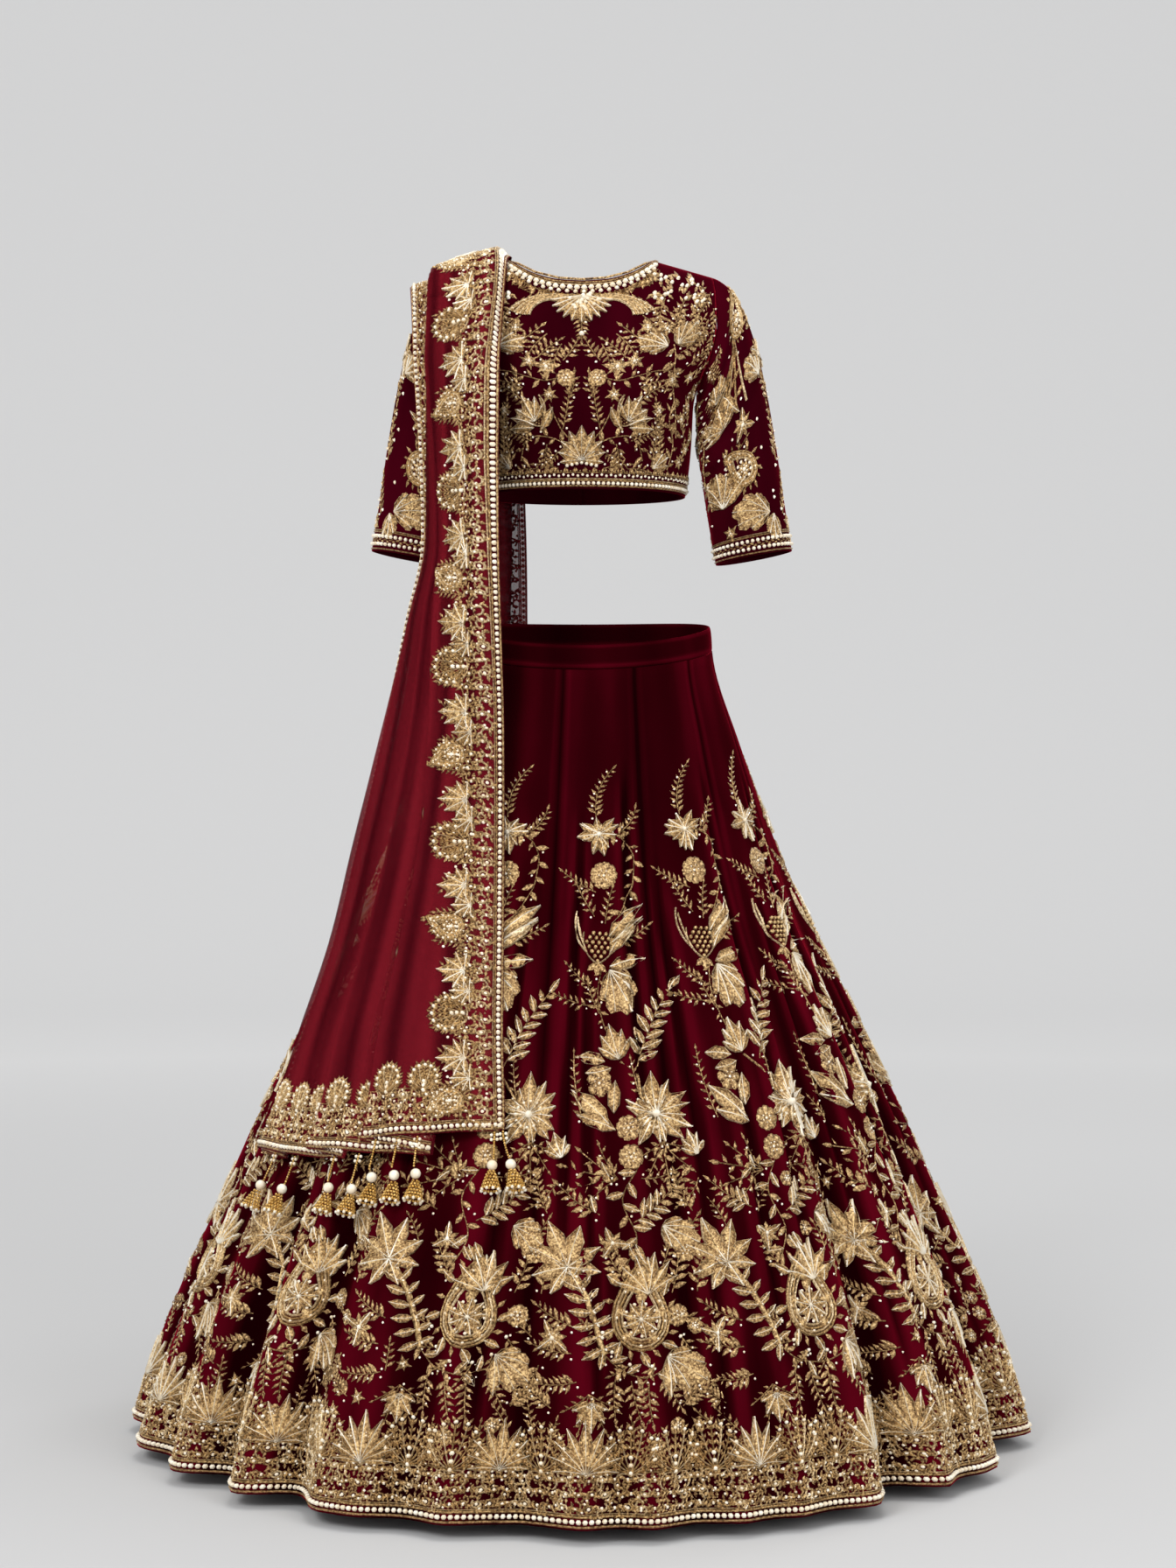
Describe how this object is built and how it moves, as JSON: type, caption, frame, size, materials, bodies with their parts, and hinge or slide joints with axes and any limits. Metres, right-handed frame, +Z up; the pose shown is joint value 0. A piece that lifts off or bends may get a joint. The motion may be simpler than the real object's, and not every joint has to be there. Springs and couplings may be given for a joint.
{
  "type": "lehenga choli with draped dupatta",
  "caption": "Hollow worn-form velvet crop blouse and flared panelled skirt with raised gold embroidery, and a pleated red net scarf with bead tassels over one shoulder.",
  "frame": {"origin": "on the body's centreline, level with the waistband's top edge at the sides, where the waist holds the skirt", "axes": "+Z up, +X to the wearer's left, -Y to the front"},
  "size_m": [1.1477, 1.1489, 1.5053],
  "materials": {
    "skirt_velvet": "dark wine silk velvet with gold embroidery and pearls",
    "choli_velvet": "dark wine silk velvet with gold embroidery and pearls",
    "red_net": "soft sheer red net with gold embroidered borders",
    "gold_cord": "fine twisted gold cord",
    "gold_beads": "small gold beads with pearls"
  },
  "bodies": {
    "root": {"skirt_panel_01": "skirt_velvet", "skirt_panel_02": "skirt_velvet", "skirt_panel_03": "skirt_velvet", "skirt_panel_04": "skirt_velvet", "skirt_panel_05": "skirt_velvet", "skirt_panel_06": "skirt_velvet", "skirt_panel_07": "skirt_velvet", "skirt_panel_08": "skirt_velvet", "skirt_panel_09": "skirt_velvet", "skirt_panel_10": "skirt_velvet", "skirt_panel_11": "skirt_velvet", "skirt_panel_12": "skirt_velvet", "waistband": "skirt_velvet", "choli_front": "choli_velvet", "choli_back_left": "choli_velvet", "choli_back_right": "choli_velvet", "sleeve_left": "choli_velvet", "sleeve_right": "choli_velvet", "neck_piping": "gold_cord", "dupatta_front": "red_net", "dupatta_shoulder": "red_net", "dupatta_back": "red_net", "tassel_front_1": "gold_beads", "tassel_front_2": "gold_beads", "tassel_front_3": "gold_beads", "tassel_front_4": "gold_beads", "tassel_front_5": "gold_beads", "tassel_front_6": "gold_beads", "tassel_front_7": "gold_beads", "tassel_front_8": "gold_beads", "tassel_front_9": "gold_beads", "tassel_back_1": "gold_beads", "tassel_back_2": "gold_beads", "tassel_back_3": "gold_beads", "tassel_back_4": "gold_beads", "tassel_back_5": "gold_beads", "tassel_back_6": "gold_beads", "tassel_back_7": "gold_beads"}
  },
  "joints": []
}
